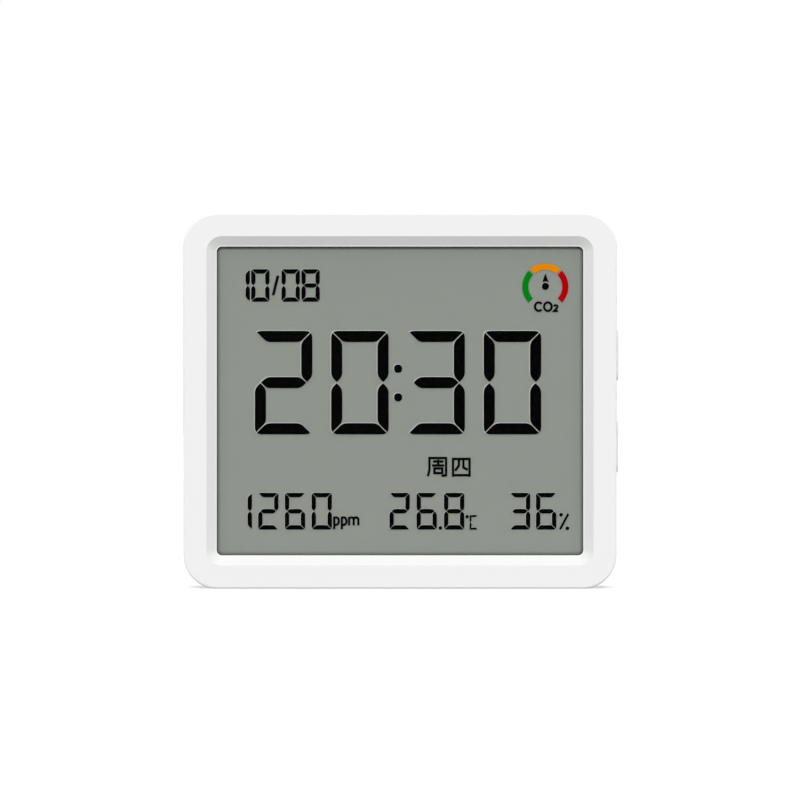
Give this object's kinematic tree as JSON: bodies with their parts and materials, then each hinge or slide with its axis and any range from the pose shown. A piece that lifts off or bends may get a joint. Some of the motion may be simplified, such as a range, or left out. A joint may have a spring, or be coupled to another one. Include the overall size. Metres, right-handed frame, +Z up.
{
  "type": "carbon dioxide monitor",
  "caption": "Desk carbon dioxide monitor: white rounded case, reflective segment display behind a sloped rim, side buttons and a fold-out rear stand.",
  "frame": {"origin": "middle of the flat base, on the surface that the monitor stands on", "axes": "+Z up, +X to the right as seen from the front, the display faces -Y"},
  "size_m": [0.0906, 0.024, 0.078],
  "materials": {
    "case_white": "fine matt moulded ABS, near white",
    "button_white": "satin moulded ABS, near white",
    "clear_lens": "clear polished acrylic",
    "black_foam": "closed-cell foam, black",
    "polariser_film": "polarising film, faint grey green",
    "display_glass": "clear float glass",
    "reflector_film": "diffuse reflecting film, grey green",
    "carrier_grey": "matt moulded ABS, light grey",
    "contact_rubber": "silicone rubber with a black contact layer, pink",
    "board_green": "glass-fibre board under green solder mask",
    "chip_black": "black moulding compound",
    "tinned_metal": "tinned sheet metal",
    "ceramic_brown": "ceramic chip parts",
    "black_nylon": "black nylon",
    "gold_plate": "gold-plated metal",
    "filter_white": "white porous membrane",
    "cell_pouch": "laminated aluminium pouch, satin",
    "pad_grey": "grey foam tape",
    "lead_red": "red insulated wire",
    "lead_black": "black insulated wire",
    "connector_ivory": "ivory nylon",
    "plunger_white": "white nylon",
    "screw_steel": "nickel-plated steel",
    "pad_rubber": "soft grey silicone rubber"
  },
  "bodies": {
    "root": {"front_housing": "case_white", "display_lens": "clear_lens", "lens_gasket": "black_foam", "lcd_front_film": "polariser_film", "lcd_front_pane": "display_glass", "lcd_rear_pane": "display_glass", "lcd_reflector": "reflector_film", "lcd_carrier": "carrier_grey", "contact_strip": "contact_rubber", "main_board": "board_green", "microcontroller": "chip_black", "charger_chip": "chip_black", "quartz_crystal": "tinned_metal", "chip_passives": "ceramic_brown", "co2_board": "board_green", "co2_header": "black_nylon", "co2_pins": "gold_plate", "co2_chamber": "gold_plate", "co2_filter": "filter_white", "co2_seal": "black_foam", "humidity_sensor": "chip_black", "usb_shell": "tinned_metal", "usb_tongue": "black_nylon", "usb_contacts": "gold_plate", "battery_cell": "cell_pouch", "battery_pad": "pad_grey", "battery_lead_red": "lead_red", "battery_lead_black": "lead_black", "battery_plug": "connector_ivory", "battery_socket": "connector_ivory", "upper_switch": "chip_black", "lower_switch": "chip_black", "rear_cover": "case_white", "case_screws": "screw_steel", "carrier_screws": "screw_steel", "board_screws": "screw_steel"},
    "upper_button": {"upper_button": "button_white", "upper_plunger": "plunger_white"},
    "lower_button": {"lower_button": "button_white", "lower_plunger": "plunger_white"},
    "stand": {"stand_leg": "case_white", "stand_pad": "pad_rubber"}
  },
  "joints": [
    {"name": "upper_button_press", "type": "slide", "parent": "root", "child": "upper_button", "axis": [-1, 0, 0], "range_m": [0, 0.00025], "stiffness_N_per_m": 1500, "springref_m": -0.0003},
    {"name": "lower_button_press", "type": "slide", "parent": "root", "child": "lower_button", "axis": [-1, 0, 0], "range_m": [0, 0.00025], "stiffness_N_per_m": 1500, "springref_m": -0.0003},
    {"name": "stand_hinge", "type": "hinge", "parent": "root", "child": "stand", "pos_m": [0, 0.0103, 0.046], "axis": [1, 0, 0], "range_deg": [0, 25]}
  ]
}
